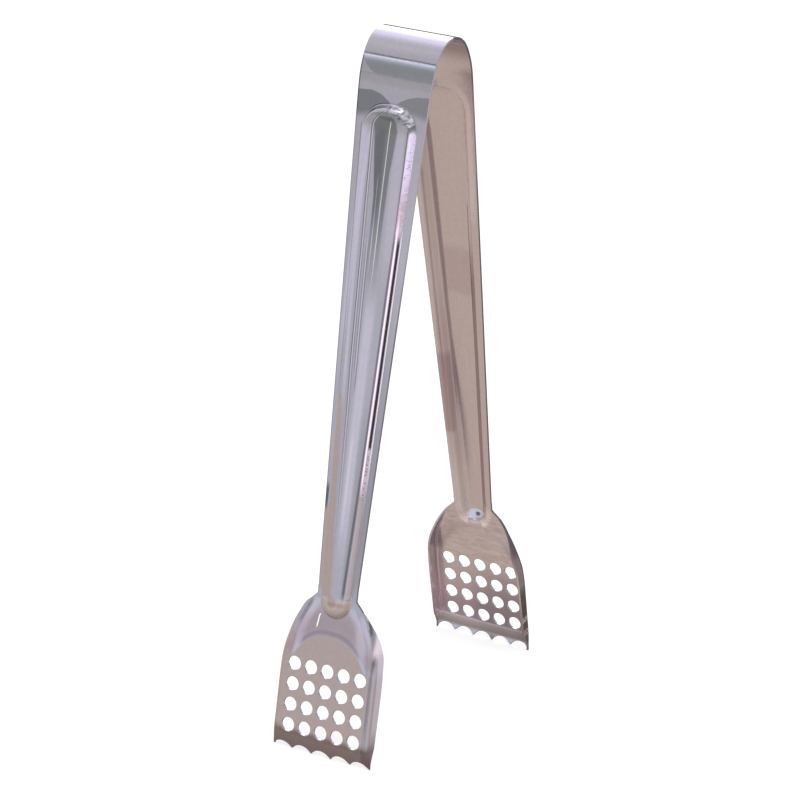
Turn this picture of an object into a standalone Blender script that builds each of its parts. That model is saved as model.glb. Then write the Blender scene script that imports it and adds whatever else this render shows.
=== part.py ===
"""Ice tongs pressed from one tapered strip of stainless steel.

Frame: +Z up with the spring bow on top and the serrated jaws at the bottom,
X is the direction the jaws close in, Y runs across the strip.  The origin is
the centre of the bounding box's bottom face, in the plane of the tooth tips.

Each half of the strip is described in millimetres by three coordinates:
  down  distance down the straight arm line, from just above the crown
  y     distance across the strip from its middle line
  out   distance outward from the arm line, away from the other arm
"side" is -1 for the left half (-X) and 1 for the right half (+X).
"""
import math

import bmesh
import bpy
from mathutils import Vector

MM = 0.001

# ---- overall ---------------------------------------------------------------
HEIGHT = 178.0                  # tooth tips to the top of the crown
SHEET = 0.6                     # sheet thickness
SPLAY = math.radians(10.8)      # each arm's angle from vertical, at rest
LINE_X = 7.73                   # arm line's distance from the middle at down = 0
CROWN_DROP = 0.32               # crown's mid surface sits this far below down = 0
GAP = 0.3                       # clearance between neighbouring pieces
LINE_Z = HEIGHT - 0.5 * SHEET + CROWN_DROP  # height of down = 0

# ---- strip width -----------------------------------------------------------
BOW_HALF = 10.18                # half width over the bow
TAPER_HALF = 10.52              # half width the taper would have at down = 0
TAPER_RATE = 0.0353             # loss of half width per mm down

# ---- bow -------------------------------------------------------------------
CROWN_R = 8.23                  # mid surface radius over the crown
CROWN_TURN = math.radians(57.0)  # crown arc, from the top down each side
BOW_END = 12.7                  # down where the bow piece ends
BOW_STEP = math.radians(5.7)    # nominal turn per segment

# ---- stiffening rib, raised on the outer side -------------------------------
RIB_TOP = 15.6                  # down of the upper rounded end
RIB_LOW = 144.8                 # down of the lower rounded end
RIB_HALF = 8.33                 # foot half width the rib would have at down = 0
RIB_RATE = 0.0295               # loss of foot half width per mm down
RIB_TOP_INSET = 7.5             # each end's radius is the rib's half width
RIB_LOW_INSET = 4.0             # this far in from that end
RIB_TOP_POWER = 2.5             # upper end is squarer than a circle's 2
RIB_WALL = 1.45                 # plan width of the sloping side
RIB_WALL_H = 1.6                # height of the sloping side
RIB_CROWN_H = 0.9               # further rise to the middle of the rib

# ---- jaw outline -------------------------------------------------------------
JAW_START = 137.4               # down where the jaw piece starts, above the neck
NECK = 139.2                    # down where the shoulders start to flare
FLARE = 28.2                    # length of the flare
FLARE_POWER = 3.8               # how early the flare reaches its width
NECK_HALF = 5.61                # half width at the neck
JAW_HALF = 13.6                 # half width below the shoulders

# ---- perforated plate ----------------------------------------------------------
PLATE_OUT = 0.9                 # the plate stands this far outward
PLATE_RISE = 9.8                # length of the slope up to it
PLATE_ARCH = 149.6              # down where the slope ends, on the middle line
PLATE_ARCH_DROP = 6.9           # the slope ends this much lower at the sides
PLATE_ARCH_HALF = 10.5          # y where that full drop is reached
PLATE_ARCH_POWER = 2.6          # squareness of the arch

# ---- inturned side walls of the jaw ---------------------------------------------
WALL_FROM = NECK + 0.9          # down where the walls start
WALL_GROW = 14.5                # length over which they reach full depth
WALL_MAX_AT = 152.0             # down where they start to get shallower
WALL_MAX = 3.9                  # depth at the shoulder
WALL_END = 3.3                  # and just above the lip
WALL_EDGE = 0.42                # and at the tooth tips
BEND_R = 0.95                   # radius of the bend between plate and wall
BEND_EXTRA = 0.2                # added to it at the shoulders
BEND_FADE = 8.0                 # length over which the extra fades out

# ---- lip and serrated edge --------------------------------------------------------
LIP_FROM = 175.0                # down where the lip starts to curl inward
LIP_END = 180.945               # down of the tooth tips
LIP_IN = 1.75                   # inward travel of the lip at the tooth tips
LIP_POWER = 1.8                 # how sharply the curl increases
EDGE_HALF = 13.95               # half width of the serrated edge
NOTCH_COUNT = 5                 # notches along the edge
NOTCH_DEPTH = 1.65
NOTCH_STEPS = 4                 # segments per notch
FREE_FROM = 174.0               # rows below here follow the notched edge

# ---- perforations ----------------------------------------------------------
HOLE_D = 3.6
HOLE_COLS, HOLE_ROWS = 5, 4
HOLE_PITCH_Y, HOLE_PITCH_DOWN = 4.75, 5.35
HOLE_FIRST = 158.4              # down of the top row
HOLE_SIDES = 14
PUNCH_LENGTH = 4.0 * SHEET

# ---- mesh stations -----------------------------------------------------------
# down of each row of vertices
ARM_ROWS = (
    BOW_END + GAP, 14.6, RIB_TOP, 16.2, 17.0, 17.9, 19.0, 20.2, 21.6, 23.6,
    60.0, 100.0, JAW_START - GAP,
)
JAW_ROWS = (
    JAW_START, 138.5, 139.6, 140.7, 141.8, 142.9, 144.0, 145.1, 146.6, 148.6,
    151.0, 154.5, 158.5, 166.0, FREE_FROM, 175.6, 177.0, 178.4, 179.7, LIP_END,
)
# columns over the rib, as fractions of its foot half width
RIB_COLUMNS = (1.0, 0.83, 0.66, 0.5, 0.34, 0.17)


def ramp(value, start, stop):
    """Straight 0 to 1 ramp from start to stop, level beyond them."""
    return max(0.0, min(1.0, (value - start) / (stop - start)))


def smooth_ramp(value, start, stop):
    """The same ramp, eased at both ends."""
    x = ramp(value, start, stop)
    return x * x * (3.0 - 2.0 * x)


def place(side, down, y, out):
    """Strip coordinates (mm) to the object's frame (m)."""
    x = side * (LINE_X + down * math.sin(SPLAY) + out * math.cos(SPLAY))
    z = LINE_Z - down * math.cos(SPLAY) + out * math.sin(SPLAY)
    return Vector((x * MM, y * MM, z * MM))


# ---------------------------------------------------------------------------
# Strip and rib
# ---------------------------------------------------------------------------
def strip_half(down):
    """Half width of the strip along the bow and the arm."""
    return min(BOW_HALF, TAPER_HALF - TAPER_RATE * down)


def rib_half(down):
    """Half width of the rib's foot."""
    return RIB_HALF - RIB_RATE * down


def rib_height(down, y):
    """Outward height of the rib: steep sides, gently crowned top."""
    top_radius = rib_half(RIB_TOP + RIB_TOP_INSET)
    low_radius = rib_half(RIB_LOW - RIB_LOW_INSET)
    top_centre = RIB_TOP + top_radius
    low_centre = RIB_LOW - low_radius
    # inset is the distance in from the rib's foot
    if down < top_centre:
        half = top_radius
        powers = abs(y) ** RIB_TOP_POWER + (top_centre - down) ** RIB_TOP_POWER
        inset = half - powers ** (1.0 / RIB_TOP_POWER)
    elif down > low_centre:
        half = low_radius
        inset = half - math.hypot(y, down - low_centre)
    else:
        half = rib_half(down)
        inset = half - abs(y)
    if inset <= 0.0:
        return 0.0
    wall = RIB_WALL_H * smooth_ramp(inset, 0.0, RIB_WALL)
    inward = ramp(inset, 0.5 * RIB_WALL, half)
    return wall + RIB_CROWN_H * (1.0 - (1.0 - inward) ** 2)


# ---------------------------------------------------------------------------
# Jaw shape
# ---------------------------------------------------------------------------
def plate_out(down, y):
    """Outward height of the perforated plate, whose upper border is an arch."""
    across = min(1.0, abs(y) / PLATE_ARCH_HALF)
    border = PLATE_ARCH + PLATE_ARCH_DROP * across ** PLATE_ARCH_POWER
    return PLATE_OUT * smooth_ramp(down, border - PLATE_RISE, border)


def jaw_half(down):
    """Half width across the jaw, over its side walls."""
    if down <= NECK:
        return strip_half(down)
    flare = 1.0 - (1.0 - ramp(down, NECK, NECK + FLARE)) ** FLARE_POWER
    half = NECK_HALF + (JAW_HALF - NECK_HALF) * flare
    # the last few millimetres open a little towards the corner teeth
    return half + (EDGE_HALF - JAW_HALF) * smooth_ramp(down, LIP_FROM, LIP_END)


def wall_depth(down):
    """How far the side walls are turned inward."""
    grown = smooth_ramp(down, WALL_FROM, WALL_FROM + WALL_GROW)
    depth = WALL_MAX + (WALL_END - WALL_MAX) * ramp(down, WALL_MAX_AT, LIP_FROM)
    fade = smooth_ramp(down, LIP_FROM, LIP_END)
    return grown * depth * (1.0 - fade) + WALL_EDGE * fade


def wall_bend(down):
    """Radius of the bend between plate and wall."""
    extra = BEND_EXTRA * (1.0 - smooth_ramp(down, WALL_MAX_AT, WALL_MAX_AT + BEND_FADE))
    return min(wall_depth(down), BEND_R + extra)


def jaw_section(down, across):
    """y and inward depth at across (-1 to 1) along the jaw's bent section."""
    half = jaw_half(down)
    radius = wall_bend(down)
    flat = half - radius
    bend = 0.5 * math.pi * radius
    wall = wall_depth(down) - radius
    along = abs(across) * (flat + bend + wall)
    if along <= flat:
        y, depth = along, 0.0
    elif along <= flat + bend:
        angle = (along - flat) / radius
        y = flat + radius * math.sin(angle)
        depth = radius * (1.0 - math.cos(angle))
    else:
        y, depth = half, radius + (along - flat - bend)
    return math.copysign(y, across), depth


def notched_edge(across):
    """down of the serrated edge: round notches between pointed teeth."""
    half = EDGE_HALF / NOTCH_COUNT
    # -half to half over each notch
    from_centre = ((across + 1.0) * 0.5 * NOTCH_COUNT % 1.0 * 2.0 - 1.0) * half
    radius = (half ** 2 + NOTCH_DEPTH ** 2) / (2.0 * NOTCH_DEPTH)
    depth = math.sqrt(radius ** 2 - from_centre ** 2) - (radius - NOTCH_DEPTH)
    return LIP_END - depth


def jaw_point(side, down, across):
    """Point of the jaw's mid surface; down is before the edge is notched."""
    if down > FREE_FROM:
        # squeeze the lowest rows up into the notches
        squeeze = ramp(down, FREE_FROM, LIP_END)
        down = FREE_FROM + squeeze * (notched_edge(across) - FREE_FROM)
    y, depth = jaw_section(down, across)
    lip = LIP_IN * ramp(down, LIP_FROM, LIP_END) ** LIP_POWER
    return place(side, down, y, plate_out(down, y) + rib_height(down, y) - depth - lip)


# ---------------------------------------------------------------------------
# Building helpers
# ---------------------------------------------------------------------------
def clear_scene():
    for ob in list(bpy.data.objects):
        bpy.data.objects.remove(ob, do_unlink=True)
    for group in list(bpy.data.collections):
        bpy.data.collections.remove(group)


def new_collection(name):
    group = bpy.data.collections.new(name)
    bpy.context.scene.collection.children.link(group)
    return group


def steel(name, colour, roughness):
    mat = bpy.data.materials.new(name)
    mat.use_nodes = True
    shader = mat.node_tree.nodes["Principled BSDF"]
    shader.inputs["Base Color"].default_value = (*colour, 1.0)
    shader.inputs["Roughness"].default_value = roughness
    shader.inputs["Metallic"].default_value = 1.0
    return mat


def mesh_object(name, bm, group):
    """Turn a finished bmesh into an object in the collection."""
    mesh = bpy.data.meshes.new(name)
    bm.to_mesh(mesh)
    bm.free()
    ob = bpy.data.objects.new(name, mesh)
    group.objects.link(ob)
    return ob


def pressed_sheet(name, group, mat, rows, cols, shape, flip=False):
    """A grid laid over shape(row, col), given the sheet's thickness."""
    bm = bmesh.new()
    bmesh.ops.create_grid(bm, x_segments=cols - 1, y_segments=rows - 1, size=0.5)
    for vert in bm.verts:
        col = round((vert.co.x + 0.5) * (cols - 1))
        row = round((vert.co.y + 0.5) * (rows - 1))
        vert.co = shape(row, col)
    if flip:
        bmesh.ops.reverse_faces(bm, faces=bm.faces)
    ob = mesh_object(name, bm, group)
    ob.data.materials.append(mat)
    ob.data.shade_smooth()
    thick = ob.modifiers.new("sheet", "SOLIDIFY")
    thick.thickness = SHEET * MM
    thick.offset = 0.0
    thick.use_even_offset = True
    thick.use_rim = True
    return ob


def flex_axis(name, group, side):
    """Empty between bow and arm, the parent that swings one arm and its jaw."""
    empty = bpy.data.objects.new(name, None)
    empty.empty_display_size = 0.01
    empty.location = place(side, BOW_END + 0.5 * GAP, 0.0, 0.0)
    group.objects.link(empty)
    return empty


def hang(ob, parent):
    """Parent without moving: the vertices are already in the object's frame."""
    bpy.context.view_layer.update()  # brings parent.matrix_world up to date
    ob.parent = parent
    ob.matrix_parent_inverse = parent.matrix_world.inverted()


# ---------------------------------------------------------------------------
# Pieces
# ---------------------------------------------------------------------------
def arc(x, drop, radius, start, stop):
    """Points (x, drop) of an arc leaving the given point, which is left out."""
    steps = round((stop - start) / BOW_STEP)
    turns = [start + (stop - start) * i / steps for i in range(1, steps + 1)]
    return [(x + radius * (math.sin(turn) - math.sin(start)),
             drop + radius * (math.cos(start) - math.cos(turn))) for turn in turns]


def bow_profile():
    """The bow from left to right, as (x, drop below the crown)."""
    crown = arc(0.0, 0.0, CROWN_R, 0.0, CROWN_TURN)
    x, drop = crown[-1]
    # flank radius chosen so its arc runs tangent into the arm line
    end_turn = 0.5 * math.pi - SPLAY
    slope = math.tan(SPLAY)
    unit_x = math.sin(end_turn) - math.sin(CROWN_TURN)
    unit_drop = math.cos(CROWN_TURN) - math.cos(end_turn)
    radius = (LINE_X + slope * (drop + CROWN_DROP) - x) / (unit_x - slope * unit_drop)
    flank = arc(x, drop, radius, CROWN_TURN, end_turn)
    tail = (LINE_X + BOW_END * math.sin(SPLAY), BOW_END * math.cos(SPLAY) - CROWN_DROP)
    right = crown + flank + [tail]
    left = [(-x, drop) for x, drop in reversed(right)]
    return left + [(0.0, 0.0)] + right


def build_bow(group, mat):
    profile = bow_profile()

    def shape(row, col):
        x, drop = profile[row]
        half = strip_half((drop + CROWN_DROP) / math.cos(SPLAY))
        return Vector((x, (col - 1) * half, LINE_Z - CROWN_DROP - drop)) * MM

    pressed_sheet("spring_bow", group, mat, len(profile), 3, shape)


def arm_columns(down):
    """y of each column across the arm: strip edges, then over the rib."""
    half = [strip_half(down)] + [part * rib_half(down) for part in RIB_COLUMNS]
    return [-y for y in half] + [0.0] + half[::-1]


def build_arm(name, group, mat, side):
    def shape(row, col):
        down = ARM_ROWS[row]
        y = arm_columns(down)[col]
        return place(side, down, y, rib_height(down, y))

    cols = 2 * len(RIB_COLUMNS) + 3
    return pressed_sheet(name, group, mat, len(ARM_ROWS), cols, shape, flip=side < 0)


def build_punches(name, group, side):
    """Cylinders square to the plate, one for each perforation."""
    bm = bmesh.new()
    outward = Vector((side * math.cos(SPLAY), 0.0, math.sin(SPLAY)))
    matrix = outward.to_track_quat("Z", "Y").to_matrix().to_4x4()
    for row in range(HOLE_ROWS):
        for col in range(HOLE_COLS):
            y = (col - 0.5 * (HOLE_COLS - 1)) * HOLE_PITCH_Y
            down = HOLE_FIRST + row * HOLE_PITCH_DOWN
            matrix.translation = place(side, down, y, PLATE_OUT)
            bmesh.ops.create_cone(bm, cap_ends=True, segments=HOLE_SIDES,
                                  radius1=0.5 * HOLE_D * MM, radius2=0.5 * HOLE_D * MM,
                                  depth=PUNCH_LENGTH * MM, matrix=matrix)
    punches = mesh_object(name, bm, group)
    punches.hide_render = True
    punches.display_type = "WIRE"
    return punches


def build_jaw(name, group, cutters, mat, side):
    cols = NOTCH_COUNT * NOTCH_STEPS + 1

    def shape(row, col):
        return jaw_point(side, JAW_ROWS[row], 2.0 * col / (cols - 1) - 1.0)

    jaw = pressed_sheet(name, group, mat, len(JAW_ROWS), cols, shape, flip=side < 0)
    cut = jaw.modifiers.new("drain_holes", "BOOLEAN")
    cut.operation = "DIFFERENCE"
    cut.solver = "EXACT"
    cut.object = build_punches(name + "_punches", cutters, side)
    return jaw


def main():
    clear_scene()
    group = new_collection("ice_tongs")
    cutters = new_collection("ice_tongs_cutters")
    bow_steel = steel("bow_steel", colour=(0.66, 0.65, 0.67), roughness=0.22)
    arm_steel = steel("arm_steel", colour=(0.64, 0.63, 0.65), roughness=0.25)
    jaw_steel = steel("jaw_steel", colour=(0.60, 0.57, 0.55), roughness=0.28)

    build_bow(group, bow_steel)
    for side, tag in ((-1, "left"), (1, "right")):
        axis = flex_axis(tag + "_flex_axis", group, side)
        hang(build_arm(tag + "_arm", group, arm_steel, side), axis)
        hang(build_jaw(tag + "_jaw", group, cutters, jaw_steel, side), axis)


main()
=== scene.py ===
"""Sheet-steel tongs standing with the spring bow at the top and the jaws at the floor.

z is up. The strip runs over the bow and down two mirrored arms, at -x (left) and +x (right),
which splay apart towards perforated jaws; its width lies along y. "Near" means -y, "far" +y.
Lengths are in mm until MM turns them into metres. The strip's own coordinates are:
  along   distance down the straight arm line, from the level of the crown
  across  developed distance from the strip's middle line, negative on the near side
  out     distance off the arm line, away from the other arm
"""
import math
from functools import cached_property, reduce
from operator import mul

import bmesh
import bpy
import numpy as np
from mathutils import Matrix, Vector


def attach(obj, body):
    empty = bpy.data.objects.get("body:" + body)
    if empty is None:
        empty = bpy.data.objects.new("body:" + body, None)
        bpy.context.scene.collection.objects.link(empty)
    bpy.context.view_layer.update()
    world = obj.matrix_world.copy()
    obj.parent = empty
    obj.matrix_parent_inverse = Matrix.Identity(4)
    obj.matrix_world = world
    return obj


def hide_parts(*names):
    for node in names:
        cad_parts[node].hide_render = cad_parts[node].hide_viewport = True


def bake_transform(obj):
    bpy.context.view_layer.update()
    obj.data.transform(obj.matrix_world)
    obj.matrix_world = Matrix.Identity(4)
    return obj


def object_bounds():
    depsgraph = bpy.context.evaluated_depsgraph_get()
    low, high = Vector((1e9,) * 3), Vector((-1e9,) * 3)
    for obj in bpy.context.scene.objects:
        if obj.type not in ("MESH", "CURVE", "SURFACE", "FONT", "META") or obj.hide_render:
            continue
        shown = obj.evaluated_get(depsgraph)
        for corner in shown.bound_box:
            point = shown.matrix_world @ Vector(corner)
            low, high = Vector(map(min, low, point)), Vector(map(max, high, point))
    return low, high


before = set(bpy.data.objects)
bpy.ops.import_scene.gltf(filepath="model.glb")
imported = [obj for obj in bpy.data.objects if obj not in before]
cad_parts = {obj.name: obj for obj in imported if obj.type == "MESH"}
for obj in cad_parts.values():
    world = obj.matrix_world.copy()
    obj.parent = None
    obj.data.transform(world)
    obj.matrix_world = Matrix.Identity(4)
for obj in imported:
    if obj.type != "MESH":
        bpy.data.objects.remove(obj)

CAD_BOX = [list(v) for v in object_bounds()]
MM = 0.001

# ---------------------------------------------------------------------------
# Driving dimensions
# ---------------------------------------------------------------------------
SHEET = 0.6                             # thickness
SPLAY = math.radians(10.8)              # each arm from the vertical
LINE_X = 7.73                           # arm line's x at along = 0
CROWN_DROP = 0.32                       # crown below along = 0
LEVEL = CAD_BOX[1][2] / MM - 0.5 * SHEET + CROWN_DROP
SEAM_BOW, SEAM_JAW = 12.85, 137.25      # along, where bow meets arm and arm meets jaw

# Strip half widths: constant on the bow, tapering down the arm
BOW_HALF, TAPER_HALF, TAPER_RATE, TAPER_BLEND = 10.18, 10.52, 0.0353, 0.25
CROWN_R, CROWN_TURN = 8.23, math.radians(57.0)

# Rib pressed into the arm
RIB_TOP, RIB_LOW = 15.6, 144.8
RIB_HALF, RIB_RATE = 8.33, 0.0295
RIB_WALL_H, RIB_CROWN_H = 1.5, 0.95
ARCH_POWER = 2.5                        # upper end, a little squarer than a half circle
TOP_STRETCH, LOW_STRETCH = 0.9, 0.6     # how much gentler the rib's wall is at its ends
BEND_R, BEND_A = 0.5, math.radians(66.0)

# Jaw outline: neck, flare to full width, and the fillet between arm and flare
NECK, FLARE, NECK_HALF, JAW_HALF = 139.2, 28.2, 5.61, 13.6
FLARE_POWER, FILLET, FILLET_FILL, FILLET_FROM = 3.8, 1.1, 0.35, NECK - 3.0
# Raised plate with an arched upper border
PLATE_OUT, PLATE_RISE, PLATE_START_POWER = 0.9, 9.8, 1.25
PLATE_ARCH, PLATE_DROP, PLATE_HALF, PLATE_POWER = 149.6, 6.9, 10.5, 2.6
# Side walls folded inward
WALL_MAX, WALL_END, WALL_DELAY, WALL_GROW, WALL_FULL = 3.9, 3.3, 0.9, 14.5, 152.0
WALL_AT_TIP, WALL_LEAST = 0.42, 1e-3
FOLD_R, FOLD_SOFT, FOLD_SOFT_RUN = 0.95, 0.2, 8.0
# Lip curling inward to a scalloped edge
LIP_FROM, LIP_END, LIP_IN, LIP_POWER = 174.8, 180.945, 1.75, 1.8
EDGE_HALF, NOTCHES, NOTCH_DEPTH = 13.95, 5, 1.65
# Holes: diameter, counts, pitch across and along, first row's along
HOLE_D, HOLE_COLS, HOLE_ROWS = 3.6, 5, 4
HOLE_ACROSS, HOLE_ALONG, HOLE_FIRST = 4.75, 5.35, 158.4

# Waviness left in the sheet: height, period along, period across, phase
RIPPLES = [(0.006, 31.0, 37.0, 0.7), (0.003, 13.0, -19.0, 2.1), (0.0010, 6.1, 7.3, 4.0)]
RIPPLE_FROM, RIPPLE_RUN = 13.0, 4.0     # on the bow, path length where waviness sets in

ARM_EDGE, JAW_EDGE = 0.15, 0.14         # how far the rounded free edge stands out
HOLE_ROUND = (0.2, 0.08)                # rounding of a hole on the outer and inner face
EDGE_TURNS = (22.5, 45.0, 67.5, 90.0)   # stations round half a free edge, degrees
NORMAL_STEP = 0.02                      # difference step for surface normals

sin_a, cos_a = math.sin(SPLAY), math.cos(SPLAY)


# ---------------------------------------------------------------------------
# Mid surface of the strip
# ---------------------------------------------------------------------------
def smoothstep(x):
    x = np.clip(x, 0.0, 1.0)
    return x * x * (3.0 - 2.0 * x)


def blend_weight(first, second, reach):
    return np.clip(0.5 + 0.5 * (second - first) / reach, 0.0, 1.0)


def strip_half(along):
    taper = TAPER_HALF - TAPER_RATE * along
    weight = blend_weight(BOW_HALF, taper, TAPER_BLEND)
    return taper * (1 - weight) + BOW_HALF * weight - TAPER_BLEND * weight * (1 - weight)


def rib_half(along):
    return RIB_HALF - RIB_RATE * along


# Half widths of the rib's rounded ends, and where those ends begin
TOP_R, LOW_R = rib_half(RIB_TOP + 7.5), rib_half(RIB_LOW - 4.0)
TOP_CENTRE, LOW_CENTRE = RIB_TOP + TOP_R, RIB_LOW - LOW_R

BEND_X = BEND_R * math.sin(BEND_A)
BEND_Z = BEND_R * (1.0 - math.cos(BEND_A))
RIB_WALL = 2.0 * BEND_X + (RIB_WALL_H - 2.0 * BEND_Z) / math.tan(BEND_A)


def bend_drop(x):
    return np.sqrt(np.maximum(BEND_R ** 2 - np.minimum(x, BEND_X) ** 2, 0.0))


def rib_side(x):
    """Pressed wall in section: foot bend, straight slope, shoulder bend."""
    x = np.clip(x, 0.0, RIB_WALL)
    to_top = RIB_WALL - x
    low = BEND_R - bend_drop(x)
    high = RIB_WALL_H - BEND_R + bend_drop(to_top)
    slope = BEND_Z + (x - BEND_X) * math.tan(BEND_A)
    return np.where(x < BEND_X, low, np.where(to_top < BEND_X, high, slope))


def rib_height(along, y):
    half = np.where(along < TOP_CENTRE, TOP_R,
                    np.where(along > LOW_CENTRE, LOW_R, rib_half(along)))
    up = np.maximum(TOP_CENTRE - along, 0.0)
    down = np.maximum(along - LOW_CENTRE, 0.0)
    arch = (np.abs(y) ** ARCH_POWER + up ** ARCH_POWER) ** (1 / ARCH_POWER)
    inset = np.maximum(half - np.where(up > 0.0, arch, np.hypot(y, down)), 0.0)
    stretch = (1.0 + TOP_STRETCH * smoothstep(up / TOP_R)
               + LOW_STRETCH * smoothstep(down / LOW_R))
    crown = (RIB_CROWN_H * (1.0 - (1.0 - inset / half) ** 2)
             * smoothstep(inset / (RIB_WALL * stretch)))
    return rib_side(inset / stretch) + crown


def plate_out(along, y):
    """Slow rise from the neck, quicker turn into the plate."""
    sideways = np.minimum(np.abs(y) / PLATE_HALF, 1.0)
    border = PLATE_ARCH + PLATE_DROP * sideways ** PLATE_POWER
    x = np.clip((along - border + PLATE_RISE) / PLATE_RISE, 0.0, 1.0)
    return PLATE_OUT * smoothstep(x ** PLATE_START_POWER)


def lip_fraction(along):
    return (along - LIP_FROM) / (LIP_END - LIP_FROM)


def jaw_half(along):
    x = np.clip((along - NECK) / FLARE, 0.0, 1.0)
    wide = NECK_HALF + (JAW_HALF - NECK_HALF) * (1.0 - (1.0 - x) ** FLARE_POWER)
    wide = wide + (EDGE_HALF - JAW_HALF) * smoothstep(lip_fraction(along))
    arm = strip_half(along)
    weight = blend_weight(arm, wide, FILLET)
    fillet = FILLET * weight * (1 - weight) * FILLET_FILL
    return np.where(along < FILLET_FROM, arm, arm * (1 - weight) + wide * weight + fillet)


def wall_depth(along):
    grow = smoothstep((along - NECK - WALL_DELAY) / WALL_GROW)
    fall = np.clip((along - WALL_FULL) / (LIP_FROM - WALL_FULL), 0.0, 1.0)
    depth = WALL_MAX + (WALL_END - WALL_MAX) * fall
    tip = smoothstep(lip_fraction(along))
    return np.maximum(grow * depth * (1.0 - tip) + WALL_AT_TIP * tip, WALL_LEAST)


def wall_bend(along):
    soft = 1.0 - smoothstep((along - WALL_FULL) / FOLD_SOFT_RUN)
    return np.minimum(wall_depth(along), FOLD_R + FOLD_SOFT * soft)


def developed(along):
    """Half of the sheet's width measured round its bends."""
    half, depth, bend = jaw_half(along), wall_depth(along), wall_bend(along)
    return (half - bend) + 0.5 * math.pi * bend + np.maximum(depth - bend, 0.0)


def section(along, across):
    """y, and depth inward, of a point on the jaw with its folded walls."""
    half, bend = jaw_half(along), wall_bend(along)
    width = np.abs(across)
    flat, arc = half - bend, 0.5 * math.pi * bend
    turn = np.clip((width - flat) / bend, 0.0, 0.5 * math.pi)
    past_arc = np.maximum(width - flat - arc, 0.0)
    y = np.where(width <= flat, width, flat + bend * np.sin(turn))
    return np.sign(across) * y, bend * (1.0 - np.cos(turn)) + past_arc


def lip_in(along):
    return LIP_IN * np.maximum(0.0, lip_fraction(along)) ** LIP_POWER


def ripple(along, across):
    return sum(height * np.sin(2 * math.pi * (along / period_along + across / period_across)
                               + phase)
               for height, period_along, period_across, phase in RIPPLES)


def strip_point(side, along, across):
    """Mid surface of arm and jaw."""
    jaw = along > SEAM_JAW - 1.0
    jaw_y, depth = section(along, across)
    y = np.where(jaw, jaw_y, across)
    out = rib_height(along, y) + ripple(along, across)
    out = out + np.where(jaw, plate_out(along, y) - depth - lip_in(along), 0.0)
    x = side * (LINE_X + along * sin_a + out * cos_a)
    z = LEVEL - along * cos_a + out * sin_a
    return np.stack([x, y, z], -1)


# Half the bow: crown arc, flatter flank arc, then straight down the arm line.
# The flank's radius makes it end tangent to the arm line.
BOW_TURN = 0.5 * math.pi - SPLAY
CROWN_X = CROWN_R * math.sin(CROWN_TURN)
CROWN_FALL = CROWN_R * (1.0 - math.cos(CROWN_TURN))
UNIT_X = math.sin(BOW_TURN) - math.sin(CROWN_TURN)        # of a flank arc of radius 1
UNIT_FALL = math.cos(CROWN_TURN) - math.cos(BOW_TURN)
FLANK_R = ((LINE_X + math.tan(SPLAY) * (CROWN_FALL + CROWN_DROP) - CROWN_X)
           / (UNIT_X - math.tan(SPLAY) * UNIT_FALL))
CROWN_ARC = CROWN_R * CROWN_TURN
FLANK_ARC = FLANK_R * (BOW_TURN - CROWN_TURN)
FLANK_END = (CROWN_FALL + FLANK_R * UNIT_FALL + CROWN_DROP) / cos_a
BOW_LENGTH = CROWN_ARC + FLANK_ARC + (SEAM_BOW - FLANK_END)


def bow_along(path):
    return FLANK_END - (CROWN_ARC + FLANK_ARC - path)


def bow_point(side, path, across):
    """Mid surface of the bow; path is the length along it from the crown."""
    crown = np.clip(path / CROWN_R, 0.0, CROWN_TURN)
    flank = CROWN_TURN + np.clip((path - CROWN_ARC) / FLANK_R, 0.0, BOW_TURN - CROWN_TURN)
    rest = np.maximum(path - CROWN_ARC - FLANK_ARC, 0.0)
    x = (CROWN_R * np.sin(crown) + FLANK_R * (np.sin(flank) - math.sin(CROWN_TURN))
         + rest * sin_a)
    fall = (CROWN_R * (1 - np.cos(crown)) + FLANK_R * (math.cos(CROWN_TURN) - np.cos(flank))
            + rest * cos_a)
    out = ripple(bow_along(path), across) * smoothstep((path - RIPPLE_FROM) / RIPPLE_RUN)
    turn = np.where(path < CROWN_ARC, crown, flank)
    x = x + out * np.sin(turn)
    fall = fall - out * np.cos(turn)
    return np.stack([side * x, across, LEVEL - CROWN_DROP - fall], -1)


def unit(vectors):
    return vectors / np.linalg.norm(vectors, axis=-1, keepdims=True)


def outward_normals(surface, side, along, across):
    step = NORMAL_STEP
    d_along = surface(side, along + step, across) - surface(side, along - step, across)
    d_across = surface(side, along, across + step) - surface(side, along, across - step)
    return unit(np.cross(d_across, d_along) * (-side))


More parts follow.
